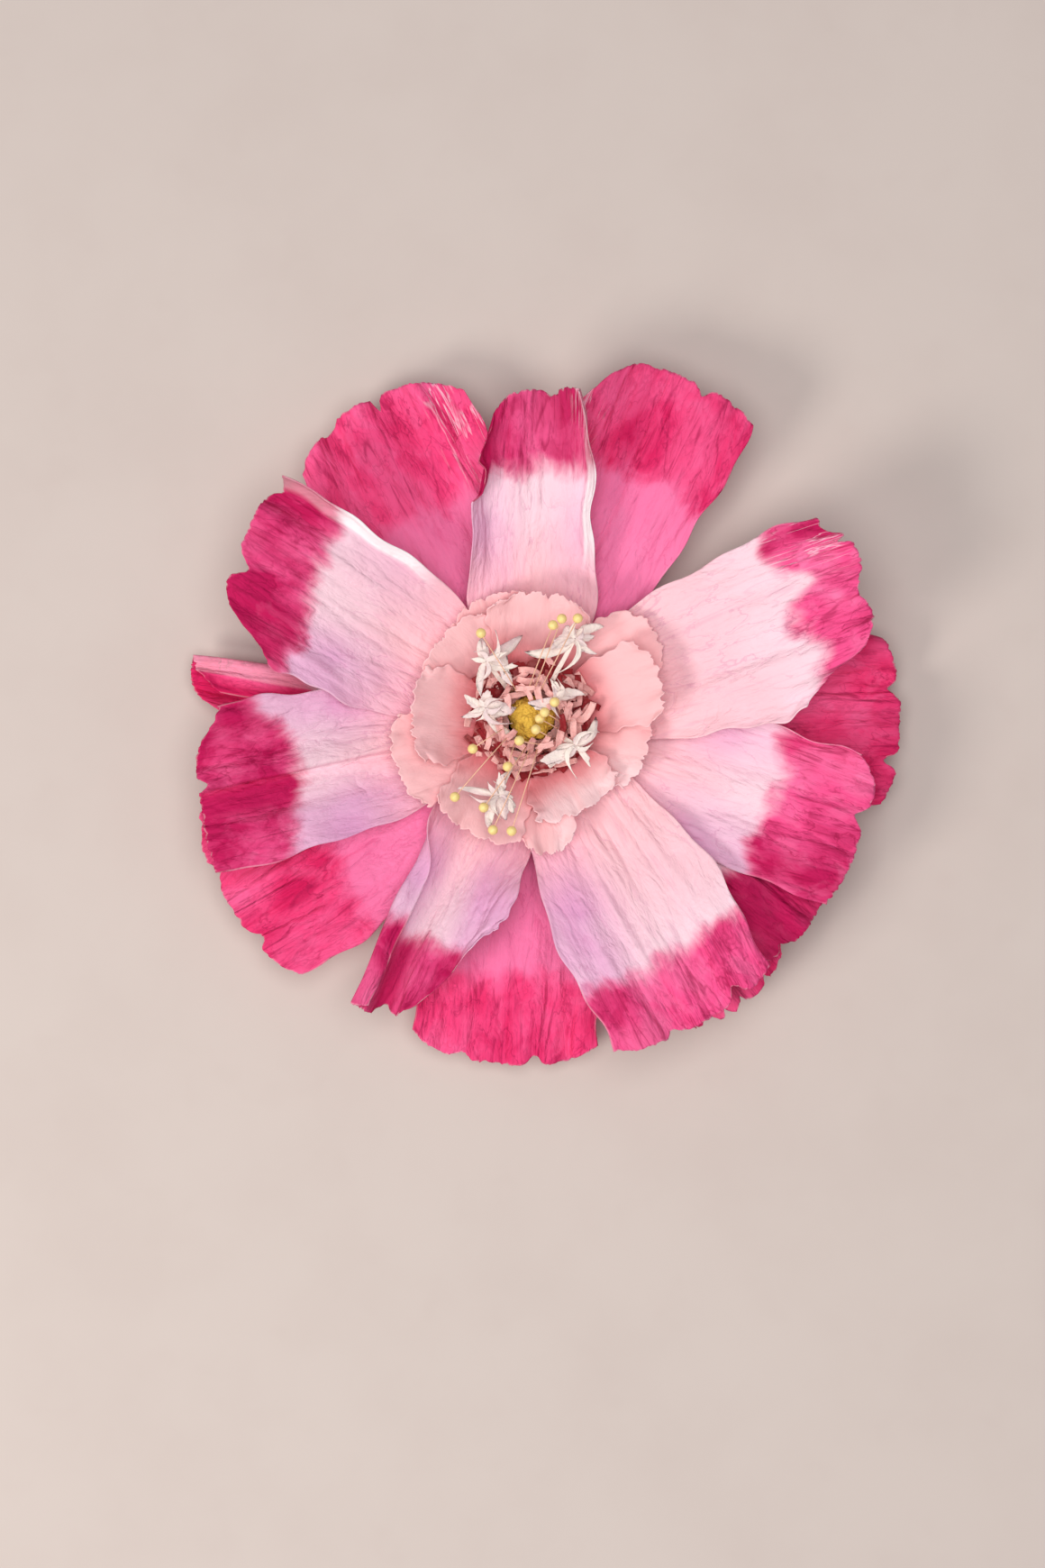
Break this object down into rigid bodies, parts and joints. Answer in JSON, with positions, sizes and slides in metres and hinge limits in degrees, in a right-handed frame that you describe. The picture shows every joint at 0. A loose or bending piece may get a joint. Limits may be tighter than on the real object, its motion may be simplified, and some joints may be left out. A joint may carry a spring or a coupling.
{
  "type": "crepe paper peony",
  "caption": "Open crepe paper flower with dip-dyed petals in layers round a fringed centre with bead-tipped stamens, made to lie or hang flat on a card disc.",
  "frame": {"origin": "centre of the card disc's underside, the face the flower rests on", "axes": "+Z from the card disc towards the viewer, out of the face of the flower; +Y towards the flower's top in the picture, +X towards its right"},
  "size_m": [0.2986, 0.2928, 0.0612],
  "materials": {
    "back_petal_paper": "matt crepe paper, dyed pink with hot pink tips",
    "front_petal_paper": "matt blush crepe paper, dip-dyed hot pink at the tips",
    "inner_petal_paper": "matt peach crepe paper",
    "fringe_paper": "matt dusty pink paper",
    "pistil_paper": "matt mustard paper",
    "tuft_paper": "matt white tissue paper",
    "stamen_bead": "pale yellow bead on a stiff waxed thread",
    "back_card": "raw grey board"
  },
  "bodies": {
    "root": {"backing_disc": "back_card", "back_petal_1": "back_petal_paper", "back_petal_2": "back_petal_paper", "back_petal_3": "back_petal_paper", "back_petal_4": "back_petal_paper", "back_petal_5": "back_petal_paper", "back_petal_6": "back_petal_paper", "back_petal_7": "back_petal_paper", "middle_petal": "front_petal_paper", "front_petal_1": "front_petal_paper", "front_petal_2": "front_petal_paper", "front_petal_3": "front_petal_paper", "front_petal_4": "front_petal_paper", "front_petal_5": "front_petal_paper", "front_petal_6": "front_petal_paper", "front_petal_7": "front_petal_paper", "inner_petal_01": "inner_petal_paper", "inner_petal_02": "inner_petal_paper", "inner_petal_03": "inner_petal_paper", "inner_petal_04": "inner_petal_paper", "inner_petal_05": "inner_petal_paper", "inner_petal_06": "inner_petal_paper", "inner_petal_07": "inner_petal_paper", "inner_petal_08": "inner_petal_paper", "inner_petal_09": "inner_petal_paper", "inner_petal_10": "inner_petal_paper", "inner_petal_11": "inner_petal_paper", "fringe_lower": "fringe_paper", "fringe_middle": "fringe_paper", "fringe_upper": "fringe_paper", "pistil": "pistil_paper", "white_tuft_1": "tuft_paper", "white_tuft_2": "tuft_paper", "white_tuft_3": "tuft_paper", "white_tuft_4": "tuft_paper", "white_tuft_5": "tuft_paper", "white_tuft_6": "tuft_paper", "stamen_01": "stamen_bead", "stamen_02": "stamen_bead", "stamen_03": "stamen_bead", "stamen_04": "stamen_bead", "stamen_05": "stamen_bead", "stamen_06": "stamen_bead", "stamen_07": "stamen_bead", "stamen_08": "stamen_bead", "stamen_09": "stamen_bead", "stamen_10": "stamen_bead", "stamen_11": "stamen_bead", "stamen_12": "stamen_bead", "stamen_13": "stamen_bead", "stamen_14": "stamen_bead", "stamen_15": "stamen_bead"}
  },
  "joints": []
}
